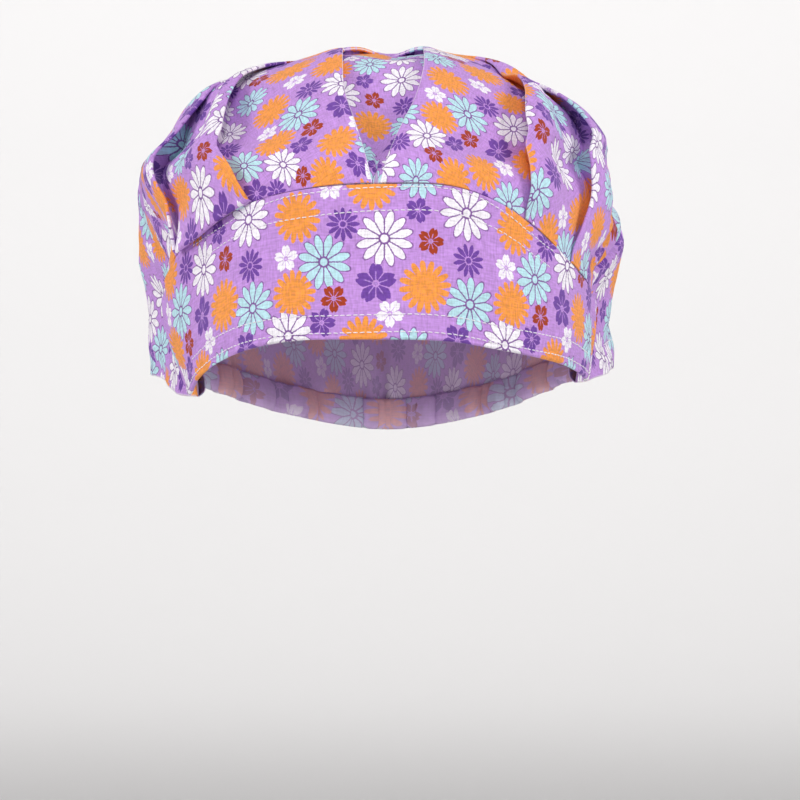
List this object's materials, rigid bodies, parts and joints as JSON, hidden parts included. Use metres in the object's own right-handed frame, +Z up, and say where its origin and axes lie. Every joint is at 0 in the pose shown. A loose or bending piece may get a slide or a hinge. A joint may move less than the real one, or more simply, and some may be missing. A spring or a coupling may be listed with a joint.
{
  "type": "surgical scrub cap",
  "caption": "Pleated cotton scrub cap with a deep double-layer front band, a full crown and an elastic nape casing.",
  "frame": {"origin": "centre of the head opening, level with the hem at the middle of the forehead", "axes": "-Y is the way the wearer faces, +X to the wearer's left, +Z up along the head"},
  "size_m": [0.1918, 0.2078, 0.1508],
  "materials": {
    "printed_cotton": "matt plain weave, reactive printed",
    "casing_cotton": "matt plain weave, wrong side of the printed cloth"
  },
  "bodies": {
    "root": {"crown": "printed_cotton", "front_band": "printed_cotton", "nape_casing": "casing_cotton"}
  },
  "joints": []
}
